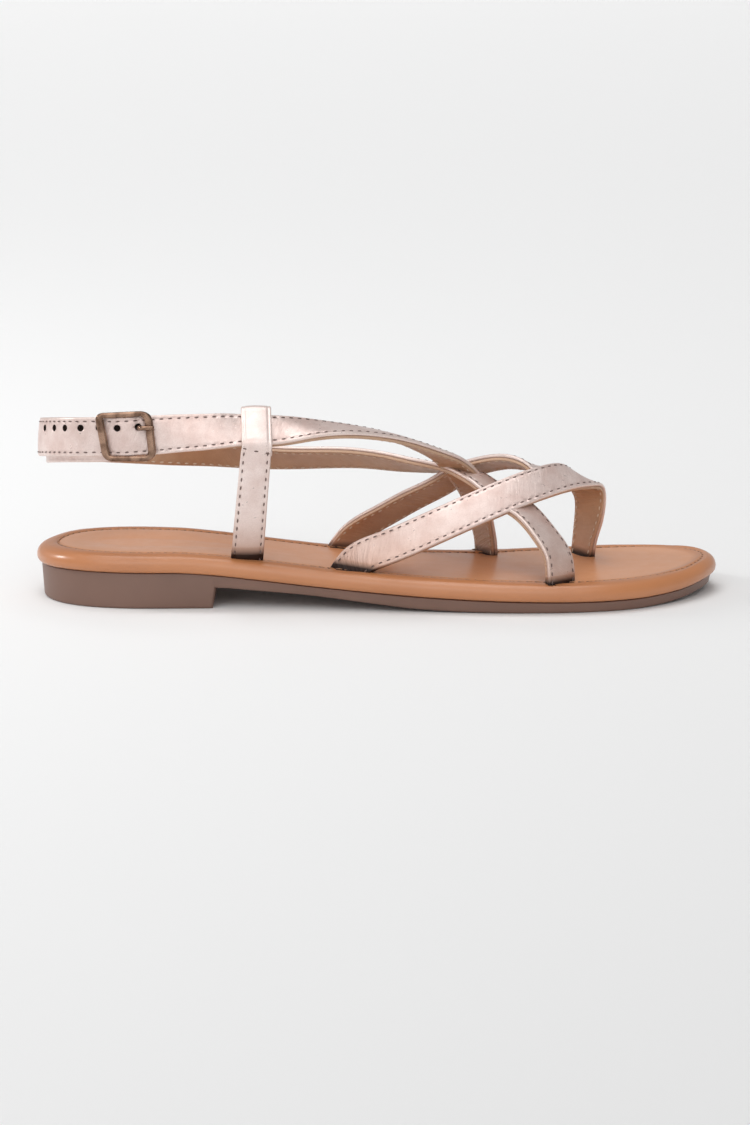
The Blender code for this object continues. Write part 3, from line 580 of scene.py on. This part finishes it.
print("materials")
leatherLook = {"roughness": 0.34, "grain": 0.10, "creaseDepth": 0.34, "seam": 0.35}
# the fourth colour of each strap leather is painted shade, near black, for the strap inside its slit
materials = {
    "face": strapLeather("roseLeather", (0.810, 0.665, 0.618), (0.665, 0.495, 0.447), (0.88, 0.76, 0.70),
                         (0.022, 0.009, 0.006), **leatherLook, metallic=0.42),
    # painted highlight: the loop is a lighter copy of the strap leather, standing in for the sheen on its stem
    "loop": strapLeather("loopLeatherPaintedHighlight", (0.900, 0.765, 0.720), (0.760, 0.600, 0.550), (0.88, 0.76, 0.70),
                         (0.022, 0.009, 0.006), **leatherLook, metallic=0.38),
    "lining": strapLeather("strapLining", (0.500, 0.300, 0.180), (0.420, 0.240, 0.140), (0.62, 0.44, 0.33),
                           (0.022, 0.009, 0.005), roughness=0.42, metallic=0.10, grain=0.12, creaseDepth=0.50,
                           seam=0.45),
    "footbed": footbedLeather(),
    "sole": mottled("soleRubber", (0.215, 0.122, 0.091), (0.180, 0.102, 0.076), (30.0, 3.0), (0.3, 0.7), 0.46,
                    grain=(1500.0, 0.08)),
    "threadDark": threadMaterial("threadTaupe", (0.180, 0.112, 0.094)),
    "threadLight": threadMaterial("threadCream", (0.780, 0.620, 0.470)),
    "threadTan": threadMaterial("threadTan", (0.560, 0.270, 0.120)),
    # painted shade: dark beads for the stitch holes of the footbed seam
    "paintedHoleShade": threadMaterial("paintedHoleShade", (0.240, 0.100, 0.042)),
    "metal": mottled("buckleMetal", (0.380, 0.240, 0.170), (0.140, 0.080, 0.055), (240.0, 5.0), (0.38, 0.66), 0.24,
                     metallic=1.0, gloss=(0.18, 0.32), grain=(900.0, 0.05)),
    # painted shade: near black for the shade inside the punched holes and the footbed slits
    "paintedShade": mottled("paintedShadeDark", (0.030, 0.014, 0.009), (0.018, 0.008, 0.005), (500.0, 3.0), (0.35, 0.65), 0.9),
    "floor": paleFloor(),
}
stitches = stitchTree()

print("straps")
finePath = strapPath(outerStrapRows + tailRows(), 0.0005)
buckleIndex, buckleAxes = pathPlace(finePath, buckle["along"])
paths = {
    "outer": weaveThroughBuckle(strapPath(outerStrapRows + tailRows()), buckleAxes[0]),
    "inner": strapPath(innerStrapRows + innerWrapRows()),
    "front": strapPath(frontStrapRows),
    "cross": strapPath(crossStrapRows),
}
tailLengths = lengthsAlong(paths["outer"][0])
tipShare = np.clip((tailLengths - (tailLengths[-1] - heelWrap["tipLength"])) / heelWrap["tipLength"], 0, 0.995)
wrapShare = np.clip((-0.060 - paths["outer"][0][:, 0]) / 0.020, 0, 1)
strapWidths = {"outer": np.sqrt(1 - tipShare ** 2) * (1 + (heelWrap["tailWidth"] - 1) * wrapShare)}
faceHigh, liningLow = strap["faceThickness"], -strap["liningThickness"]
strapStitch = [strap[size] for size in ("stitchPitch", "stitchLength", "stitchWidth", "stitchHeight")]
liningProfile = roundedProfile(strap["width"] - 2 * strap["liningInset"], liningLow, -strap["sheetGap"],
                               strap["liningEdge"])


def creaseValues(path, ends):
    turn = np.linalg.norm(np.gradient(path[1], axis=0), axis=1) / strap["step"]
    value = 0.25 + np.clip(turn / 60, 0, 1.0)
    lengths = lengthsAlong(path[0])
    for place, reach, amount in ends:
        value += amount * np.exp(-((lengths - lengths[-1] * place) / reach) ** 2)
    return value


# painted shade towards the slits, from each point's height above the footbed
def paintedSlitShade(points, strength, reach):
    above = np.clip(points[:, 2] - footbedTop(points[:, 0]), 0, None)
    return strength * (0.75 * np.exp(-(above / reach) ** 2) + 0.25 * np.exp(-(above / 0.014) ** 2))


# painted shade: how dark each strap gets towards its slits: behind the middle, before it, reach
paintedSlitShades = {"front": (0.95, 0.7, 0.0021), "cross": (0.6, 0, 0.0018), "outer": (0, 0.6, 0.0020),
              "inner": (0, 0.75, 0.0020)}


def slitShadeValues(key):
    back, ahead, reach = paintedSlitShades[key]
    return lambda places: paintedSlitShade(places, np.where(places[:, 0] < 0.03, back, ahead), reach)


creaseSpots = {
    "outer": ((0.73, 0.010, 0.8), (0.80, 0.008, 0.6), (0.02, 0.01, 0.8)),
    "inner": ((0.02, 0.010, 0.8),),
    "front": ((0.02, 0.012, 0.9), (0.22, 0.010, 0.4), (0.74, 0.010, 0.9)),
    "cross": ((0.05, 0.01, 0.6), (0.40, 0.012, 0.9)),
}


def punchHoles(item, pins):
    step = item.modifiers.new("holes", "BOOLEAN")
    step.operation, step.object, step.solver, step.material_mode = "DIFFERENCE", pins, "EXACT", "TRANSFER"
    bakeModifiers(item)


def upward(direction):
    return direction if direction[2] > 0 else -direction


# the last two entries place the dark plugs of painted shade inside the holes
holes = {
    "radius": 0.0012, "rise": 0.0032, "places": (0.0, 0.0072, 0.0137, 0.0202, 0.0269, 0.0335, 0.0403),
    "cut": (-0.004, 0.004), "shadePlug": (-0.0010, -0.0002), "shadePlugShare": 0.98,
}


def holePins(name, radius, low, high):
    lengths = lengthsAlong(finePath[0])
    pins = bmesh.new()
    for away in holes["places"]:
        place = lengths[buckleIndex] - buckle["prongHole"] + away
        i = min(int(np.searchsorted(lengths, place)), len(lengths) - 1)
        middle = finePath[0][i] + upward(finePath[3][i]) * holes["rise"]
        middle = middle + finePath[2][i] * (weaveAt(middle[0] - buckleAxes[0][0]) + (low + high) / 2)
        turn = Vector(finePath[2][i]).to_track_quat("Z", "Y").to_matrix().to_4x4()
        turn.translation = Vector(middle)
        bmesh.ops.create_cone(pins, cap_ends=True, segments=24, radius1=radius, radius2=radius, depth=high - low,
                              matrix=turn)
    mesh = bpy.data.meshes.new(name)
    pins.to_mesh(mesh)
    pins.free()
    return addObject(name, mesh)


def strapPieces(key, *replaced):
    path, widths = paths[key], strapWidths.get(key)
    # the foot attribute holds the painted shade towards the slits
    extra = {"crease": creaseValues(path, creaseSpots[key]), "foot": slitShadeValues(key),
             "sewn": np.ones(len(path[0]))}
    profile = roundedProfile(strap["width"], strap["sheetGap"], faceHigh, strap["faceEdge"])
    face = sweep(key + "StrapFace", path, profile, widths, extra)
    lining = sweep(key + "StrapLining", path, liningProfile, widths, extra)
    face.data.materials.append(materials["face"])
    lining.data.materials.append(materials["lining"])
    if key == "outer":
        pins = holePins("pins", holes["radius"], *holes["cut"])
        # the pins give the hole walls their painted shade
        pins.data.materials.append(materials["paintedShade"])
        punchHoles(face, pins)
        punchHoles(lining, pins)
        bpy.data.objects.remove(pins)
        # painted shade: dark plugs inside the holes
        depths = holePins("holeShadePlugs", holes["radius"] * holes["shadePlugShare"], *holes["shadePlug"])
        finishPiece(depths, materials["paintedShade"], "upper")
    finishPiece(face, None, "upper", *replaced)
    finishPiece(lining, None, "upper")
    top, under = faceHigh - strap["seamDepth"] + strap["stitchLift"], liningLow - strap["liningStitchLift"]
    start, end = strap["seamStart"], strap["seamEnd"]
    topEnd = strap["hiddenEnd"] if key == "inner" else end
    stitchRows(key + "StrapOuterStitches", seamLines(path, top, 1, start, topEnd, widths), materials["threadDark"],
               "upper", *strapStitch)
    stitchRows(key + "StrapInnerStitches", seamLines(path, under, -1, start, end, widths),
               materials["threadLight"], "upper", *strapStitch)


strapPieces("outer", "upper")
for key in ("inner", "front", "cross"):
    strapPieces(key)

print("footbed")
strapFeet = [(paths[key][0][index], reach) for key, index, reach in (
    ("front", 0, 0.0042), ("front", -1, 0.0040), ("cross", 0, 0.0042), ("outer", 0, 0.0040), ("inner", 0, 0.0040))]


def strapDents(x, y):
    return sum(footbed["strapDent"] * np.exp(-(np.hypot(x - foot[0], y - foot[1]) / (2.0 * reach)) ** 2)
               for foot, reach in strapFeet)


def seamInset(x):
    nearToe = np.clip((x - 0.085) / 0.030, 0, 1)
    return footbed["seamInset"] - footbed["toeSeamShift"] * nearToe ** 2 * (3 - 2 * nearToe)


def footbedPiece():
    count, thick, roll = footbed["points"], footbed["thickness"], footbed["edgeRoll"]
    underRoll, sideHeight, field = footbed["underRoll"], footbed["sideHeight"], footbed["fieldInset"]
    base = outlineLoop(0.0, count)
    rings, inside = [], []

    def addRing(inset, height, xy=None):
        place = outlineLoop(inset, count) if xy is None else xy
        rings.append(np.column_stack([place, height]))
        inside.append(np.full(count, inset))

    # the line in the middle that the rings of the underside and the field close on
    inner, middle = outlineLoop(field, count), []
    along = np.clip(base[:, 0], base[:, 0].min() + 0.030, base[:, 0].max() - 0.034)
    for value in along:
        near = inner[np.abs(inner[:, 0] - value) < 0.0022]
        middle.append(np.mean([near[:, 1].min(), near[:, 1].max()]))
    spine = np.column_stack([along, middle])
    low = soleTop(base[:, 0]) + sole["gap"]
    addRing(0.0, low, spine)
    for share in (0.35, 0.7, 0.93):
        addRing(0.0, low, outlineLoop(underRoll, count) * share + spine * (1 - share))
    for a in np.radians(np.linspace(-75, 0, 7)):
        addRing(underRoll * (1 - math.cos(a)), low + sideHeight * (1 + math.sin(a)))
    for a in np.radians(np.linspace(0, 90, 13)[1:]):
        addRing(roll * (1 - math.cos(a)), low + sideHeight + (thick - sideHeight) * math.sin(a) ** 0.92)
    for inset in (*footbed["insets"], field):
        addRing(inset, low + thick)
    for share in np.linspace(0, 1, 26)[1:]:
        addRing(field, low + thick, inner * (1 - share) + spine * share)
    for k in range(20, len(rings)):
        ring = rings[k]
        x, y = ring[:, 0], ring[:, 1]
        share = np.clip((ring[:, 2] - low) / thick, 0, 1)
        ring[:, 2] += np.where(share > 0.98, footbedTop(x) - (low + thick), 0)
        inset = inside[k][0]
        groove = footbed["seamDepth"] * np.exp(-((inset - seamInset(x)) / 0.0006) ** 2)
        bead = 0.00025 * math.exp(-((inset - 0.0058) / 0.0016) ** 2)
        dish = 0.0
        if inset >= field:
            far = np.hypot(*(ring[:, :2] - inner).T)
            dish = footbed["heelDish"] * np.clip(far / 0.012, 0, 1) ** 1.5 * np.clip((-0.02 - x) / 0.05, 0, 1)
        ring[:, 2] += bead - groove - dish - strapDents(x, y)
    return makeObject("footbedBody", np.vstack(rings), ringFaces(len(rings), count), None,
                      {"inside": np.concatenate(inside)})


finishPiece(footbedPiece(), materials["footbed"], "footbed", "footbed")
seamLoop = outlineLoop(footbed["seamInset"], 900)
seamLoop = outlineLoop(seamInset(seamLoop[:, 0])[:, None], 900)
seamLoop = np.vstack([seamLoop, seamLoop[:1]])
seamHeight = footbedTop(seamLoop[:, 0]) - footbed["seamDepth"] + 0.0003
seamPoints = np.column_stack([seamLoop, seamHeight])
upRows = np.tile([0.0, 0.0, 1.0], (len(seamPoints), 1))
stitchRows("footbedStitches", [(seamPoints, upRows)], materials["threadTan"], "footbed",
           footbed["stitchPitch"], *footbed["stitch"])
# the beads of painted hole shade lie half a pitch from the stitches; the seam is about 0.62 m long
shifted = np.roll(seamPoints[:-1], -round(450 * footbed["stitchPitch"] / 0.62), axis=0)
stitchRows("footbedHoleShades", [(np.vstack([shifted, shifted[:1]]) - [0, 0, 0.0001], upRows)], materials["paintedHoleShade"],
           "footbed", footbed["stitchPitch"], *footbed["holeShadeBead"])


# painted shade: a dark patch on the footbed around each strap where it goes into its slit
def slitShadePatch(name, foot, acrossWay, wide, deep):
    acrossWay = unit(acrossWay * [1, 1, 0])
    deepWay = np.array([-acrossWay[1], acrossWay[0], 0.0])
    points, faces = [foot], []
    for k in range(1, 4):
        for i in range(40):
            a = 2 * math.pi * i / 40
            c, d = math.cos(a), math.sin(a)
            reach = k / 3
            point = foot + acrossWay * math.copysign(abs(c) ** 0.35, c) * wide / 2 * reach
            points.append(point + deepWay * math.copysign(abs(d) ** 0.6, d) * deep / 2 * reach)
    for i in range(40):
        j = (i + 1) % 40
        faces.append((0, 1 + i, 1 + j))
        faces += [(1 + k * 40 + i, 41 + k * 40 + i, 41 + k * 40 + j, 1 + k * 40 + j) for k in range(2)]
    points = np.array(points)
    points[:, 2] = footbedTop(points[:, 0]) - strapDents(points[:, 0], points[:, 1]) + 0.00008
    points[81:, 2] -= 0.0002
    finishPiece(makeObject(name, points, faces), materials["paintedShade"], "footbed")


def surfacePlace(path, fromEnd=False):
    points = path[0][::-1] if fromEnd else path[0]
    i = int(np.argmax(points[:, 2] > footbedTop(points[:, 0])))
    return points[i], (path[3][::-1] if fromEnd else path[3])[i]


for name, key, fromEnd in (("frontSlitShade", "front", False), ("toeSlitShade", "inner", False), ("innerToeSlitShade", "front", True),
                           ("crossSlitShade", "cross", False), ("outerSlitShade", "outer", False)):
    foot, acrossWay = surfacePlace(paths[key], fromEnd)
    slitShadePatch(name, foot, acrossWay, strap["width"] + footbed["slitMargin"], footbed["slitDepth"])

print("outsole")


def outsolePiece():
    breast = sole["heelLength"] - sole["length"] / 2
    shares = list(0.5 - 0.5 * np.cos(np.pi * np.linspace(0, 1, 150)))
    stations = sorted(shares + [(breast - sole["breastRake"]) / sole["length"] + 0.5, breast / sole["length"] + 0.5])
    x = (np.array(stations) - 0.5) * sole["length"]

    def ring(inset, height):
        count = sole["points"]
        loopPoints = outlineLoop(inset, count)
        back, front = int(np.argmin(loopPoints[:, 0])), int(np.argmax(loopPoints[:, 0]))
        inner = np.roll(loopPoints, -back, axis=0)[:(front - back) % count + 1]
        outer = np.roll(loopPoints, -front, axis=0)[:(back - front) % count + 1][::-1]
        low, high = loopPoints[back, 0], loopPoints[front, 0]
        places = low + (high - low) * np.array(stations)
        near, far = (np.column_stack([places, np.interp(places, *edge.T), height]) for edge in (outer, inner))
        return np.vstack([near, far[1:-1][::-1]])

    rounding, inset, taper = sole["footRound"], sole["sideInset"], sole["sideTaper"]
    under, top = soleUnder(x), soleTop(x)
    rings = [ring(inset + taper + rounding * (1 - math.sin(a)), under + rounding * (1 - math.cos(a)))
             for a in np.radians(np.linspace(0, 90, 6))]
    rings += [ring(inset + taper * (1 - s), (under + rounding) * (1 - s) + top * s) for s in (0.5, 0.93)]
    rings += [ring(inset + 0.0002, top - 0.0001), ring(inset + 0.0006, top)]
    size, last = len(rings[0]), len(stations) - 1
    faces = ringFaces(len(rings), size)
    for start in (0, (len(rings) - 1) * size):
        for i in range(last):
            corners = (i, i + 1, size - i - 1, -i % size)
            faces.append(tuple(start + c for c in dict.fromkeys(corners)))
    item = makeObject("outsoleBody", np.vstack(rings), faces)
    item.data.set_sharp_from_angle(angle=math.radians(50))
    return item


finishPiece(outsolePiece(), materials["sole"], "outsole", "outsole")

print("loop")
loop = {
    "along": 0.328, "widthAtFoot": 0.0118, "widthAtEye": 0.0107, "lean": 0.0042, "footAcross": -0.60,
    "depth": 0.0027, "height": 0.0082, "corner": 0.0018, "bow": 0.0012, "thickness": 0.0014, "step": 0.0006,
    "rooted": 0.003, "edge": 0.00055, "boxSeamHalf": 0.0040, "boxSeamSlope": 0.23,
}


def loopPath():
    _, (middle, ahead, outward, _) = pathPlace(finePath, loop["along"])
    ahead = unit(ahead * [1, 1, 0])
    outward = unit(outward - ahead * outward.dot(ahead))
    side = upward(np.cross(ahead, outward))
    footX = middle[0] - loop["lean"]
    foot = np.array([footX, loop["footAcross"] * sole["ballWidth"] / 2, float(footbedTop(footX)) - loop["rooted"]])
    deep, tall, corner = loop["depth"], loop["height"], loop["corner"]
    lowOut = middle + outward * (deep - corner) - side * (tall - corner)
    normal = np.array([0.0, -1.0, 0.0])
    for _ in range(6):
        line = unit(lowOut + normal * corner - foot)
        normal = unit(np.array([0.0, -1.0, 0.0]) + line * line[1])
    first = math.degrees(math.atan2(normal.dot(-side), normal.dot(outward)))
    points, normals = [], []
    top = lowOut + normal * corner
    for share in np.linspace(0, 1, 40)[:-1]:
        bow = np.array([0.0, -loop["bow"], 0.0]) * math.sin(math.pi * share)
        points.append(foot + (top - foot) * share + bow)
        normals.append(normal)
    stemCount = len(points)

    def arc(centre, fromAngle, toAngle):
        for angle in np.radians(np.linspace(fromAngle, toAngle, 7)):
            direction = outward * math.cos(angle) - side * math.sin(angle)
            points.append(centre + direction * corner)
            normals.append(direction)

    arc(lowOut, first, 0)
    for out, up, start in ((1, 1, 0), (-1, 1, -90), (-1, -1, -180)):
        arc(middle + outward * (deep - corner) * out + side * (tall - corner) * up, start, start - 90)
    points.append(lowOut - side * corner)
    normals.append(-side)
    points, normals = np.array(points), np.array(normals)
    across = np.tile(ahead, (len(points), 1))
    lengths = lengthsAlong(points)
    even = np.arange(0, lengths[-1], loop["step"])
    points, normals, across = (np.column_stack([np.interp(even, lengths, column) for column in field.T])
                               for field in (points, normals, across))
    return (points, np.gradient(points, axis=0), unit(normals), across), even, float(lengths[stemCount])


loopLine, loopLengths, stemLength = loopPath()
loopWidths = np.interp(loopLengths, [0, stemLength], [loop["widthAtFoot"], loop["widthAtEye"]]) / strap["width"]
# foot: painted shade towards the loop's slit
loopLook = {"crease": 0.25 + 0.6 * np.exp(-(loopLengths / 0.008) ** 2), "foot": paintedSlitShade(loopLine[0], 1.0, 0.0036),
            "sewn": (loopLengths < stemLength - 0.001).astype(float)}
loopProfile = roundedProfile(strap["width"], strap["sheetGap"], loop["thickness"], loop["edge"])
finishPiece(sweep("loopFace", loopLine, loopProfile, loopWidths, loopLook), materials["loop"],
            "loop_lateral", "loop_lateral")
stemPart = loopLengths < stemLength + 0.0008
stemLine = tuple(values[stemPart] for values in loopLine)
stemLook = {label: value[stemPart] for label, value in loopLook.items()}
finishPiece(sweep("loopLining", stemLine, liningProfile, loopWidths[stemPart], stemLook), materials["lining"],
            "loop_lateral")
stemStitches = seamLines(stemLine, loop["thickness"], 1, 0.0035, 0.0022, loopWidths[stemPart])
seamPlace = int(np.searchsorted(loopLengths, stemLength - 0.0012))
seamAcross = np.linspace(-loop["boxSeamHalf"], loop["boxSeamHalf"], 9)
seamTop = loop["thickness"] + crownAt(seamAcross) + 0.00005
boxSeam = (loopLine[0][seamPlace] + np.outer(seamAcross, loopLine[3][seamPlace] + [0, 0, loop["boxSeamSlope"]])
           + np.outer(seamTop, loopLine[2][seamPlace]))
stemStitches.append((boxSeam, np.tile(loopLine[2][seamPlace], (9, 1))))
stitchRows("loopStitches", stemStitches, materials["threadDark"], "loop_lateral", *strapStitch)

print("buckle")


def buckleSpot(forward, aside, out):
    middle, ahead, outward, across = buckleAxes
    return middle + ahead * np.sign(ahead[0]) * forward + upward(across) * aside + outward * out


def railDepth():
    return buckle["strapRoom"] + strap["crown"] + sole["gap"] + buckle["clearance"] - buckle["weave"]


def barDepth():
    return buckle["weave"] - buckle["strapRoom"] - sole["gap"] - buckle["barRadius"] - strap["crown"]


def roundedOutline(corners):
    # the middle line of the rail with its outer direction, rounded at each corner
    ends, sides = buckle["endRailWidth"] / 2, buckle["sideRailWidth"] / 2
    inner = [np.array([a - math.copysign(ends, a), b - math.copysign(sides, b)]) for a, b, _ in corners]
    line = []
    for i, corner in enumerate(inner):
        before, after = inner[i - 1], inner[(i + 1) % len(inner)]
        inWay, outWay = unit(corner - before), unit(after - corner)
        reach = corners[i][2]
        for share in np.linspace(0, 1, 13):
            start, end = corner - inWay * reach, corner + outWay * reach
            line.append(start * (1 - share) ** 2 + corner * 2 * share * (1 - share) + end * share ** 2)
        for share in (0.15, 0.4, 0.6, 0.85):
            line.append((corner + outWay * reach) * (1 - share) + (after - outWay * corners[(i + 1) % 4][2]) * share)
    line = np.array(line)
    ahead = unit(np.roll(line, -1, axis=0) - np.roll(line, 1, axis=0))
    return line, np.stack([ahead[:, 1], -ahead[:, 0]], 1)


def buckleFramePiece():
    line, normals = roundedOutline(buckle["corners"])
    deep = buckle["railDepth"] / 2
    angles = np.linspace(0, 2 * np.pi, 28, endpoint=False)
    points = []
    for (a, b), (na, nb) in zip(line, normals):
        wide = (na * na * buckle["endRailWidth"] + nb * nb * buckle["sideRailWidth"]) / 2
        for angle in angles:
            c, s = math.cos(angle), math.sin(angle)
            r = math.copysign(abs(c) ** 0.8, c) * wide
            h = math.copysign(abs(s) ** 0.8, s) * deep
            points.append(buckleSpot(a + na * r, b + nb * r, railDepth() + h))
    return makeObject("buckleFrame", points, ringFaces(len(line), len(angles), closed=True))


def tube(name, line, radii, sides=16):
    line = np.array(line)
    ahead = unit(np.gradient(line, axis=0))
    first = np.cross(ahead[0], [0.3, 0.5, 0.8])
    points = []
    for i, (p, t) in enumerate(zip(line, ahead)):
        first = unit(first - t * first.dot(t))
        second = np.cross(t, first)
        for j in range(sides):
            a = 2 * math.pi * j / sides
            points.append(p + (first * math.cos(a) + second * math.sin(a)) * radii[i])
    return makeObject(name, points, ringFaces(len(line), sides) + capFaces(len(line), sides))


def centreBar():
    depth, (high, low) = barDepth(), buckle["barEnds"]
    bend = depth * 0.3 + railDepth() * 0.7
    rows = [(high, railDepth(), 0), (high, bend, 0), (high - 0.0001, depth, 0), (high * 0.8, depth, 0), (0, depth, 0),
            (low * 0.8, depth, 0), (low + 0.0001, depth, 0), (low, bend, 0), (low, railDepth(), 0)]
    line = [buckleSpot(0, a, n) for a, n, _ in smoothRows(rows, 60)]
    return tube("buckleBar", line, np.full(60, buckle["barRadius"]))


def prongPiece():
    low = barDepth()
    rest = railDepth() + buckle["railDepth"] / 2 + buckle["prongRadius"] * 0.9
    hole, rail = buckle["prongHole"], buckle["prongReach"]
    wrap = buckle["barRadius"] + buckle["prongRadius"]
    rows = [(wrap * math.cos(a), low + wrap * math.sin(a), 0) for a in np.radians(np.linspace(70, 350, 9))]
    rows += [(hole - 0.0012, low + 0.0001, 0), (hole, low + 0.0012, 0), (hole + 0.0004, rest - 0.0012, 0),
             (hole + 0.0016, rest + 0.0001, 0), (rail - 0.001, rest, 0), (rail + 0.0014, rest - 0.0004, 0)]
    line = [buckleSpot(a, holes["rise"], n) for a, n, _ in smoothRows(rows, 90)]
    radii = np.full(90, buckle["prongRadius"])
    radii[-12:] *= np.sqrt(1 - np.linspace(0, 0.93, 12) ** 2) * 0.35 + 0.65
    return tube("bucklePin", line, radii)


finishPiece(buckleFramePiece(), materials["metal"], "buckle_frame", "buckle_frame")
finishPiece(centreBar(), materials["metal"], "buckle_frame")
finishPiece(prongPiece(), materials["metal"], "buckle_prong", "buckle_prong")

print("stage")
floor = makeObject("paleFloor", [(-15, -7, 0), (15, -7, 0), (15, 25, 0), (-15, 25, 0)], [(0, 1, 2, 3)])
floor.data.materials.append(materials["floor"])


def addLight(name, kind, place, power, **settings):
    data = bpy.data.lights.new(name, kind)
    data.energy = power
    for label, value in settings.items():
        setattr(data, label, value)
    item = addObject(name, data)
    item.location = place
    item.rotation_euler = (-Vector(place)).to_track_quat("-Z", "Y").to_euler()


addLight("overheadLight", "SUN", (-0.2, 0.3, 1.9), 0.9, angle=math.radians(40))
addLight("frontTopLight", "SUN", (-0.25, -1.1, 1.7), 1.02, angle=math.radians(60))
addLight("frontLight", "SUN", (-0.3, -1.9, 0.50), 0.68, angle=math.radians(70))
addLight("leftSoftbox", "AREA", (-1.0, 0.12, 0.55), 3.2, shape="SQUARE", size=0.2)

world = bpy.data.worlds.new("studio")
bpy.context.scene.world = world
world.use_nodes = True
sky = world.node_tree
direction = newNode(sky, "ShaderNodeTexCoord").outputs["Generated"]
height = newNode(sky, "ShaderNodeSeparateXYZ", {0: direction}).outputs[2]
sky.links.new(rangeOn(sky, height, 0.0, 0.8, 0.55, 0.24), sky.nodes["Background"].inputs["Strength"])
sky.nodes["Background"].inputs["Color"].default_value = (1.0, 1.0, 1.0, 1.0)

look = {"camera": (-0.0011, -1.15, 0.25544), "pitch": 12.0, "lens": 153.5, "sensor": 36.0}
cameraData = bpy.data.cameras.new("photoCamera")
cameraData.sensor_fit, cameraData.sensor_width, cameraData.lens = "HORIZONTAL", look["sensor"], look["lens"]
camera = addObject("photoCamera", cameraData)
camera.location = look["camera"]
camera.rotation_euler = (math.radians(90 - look["pitch"]), 0, 0)
bpy.context.scene.camera = camera
bpy.context.scene.view_settings.view_transform = "Standard"
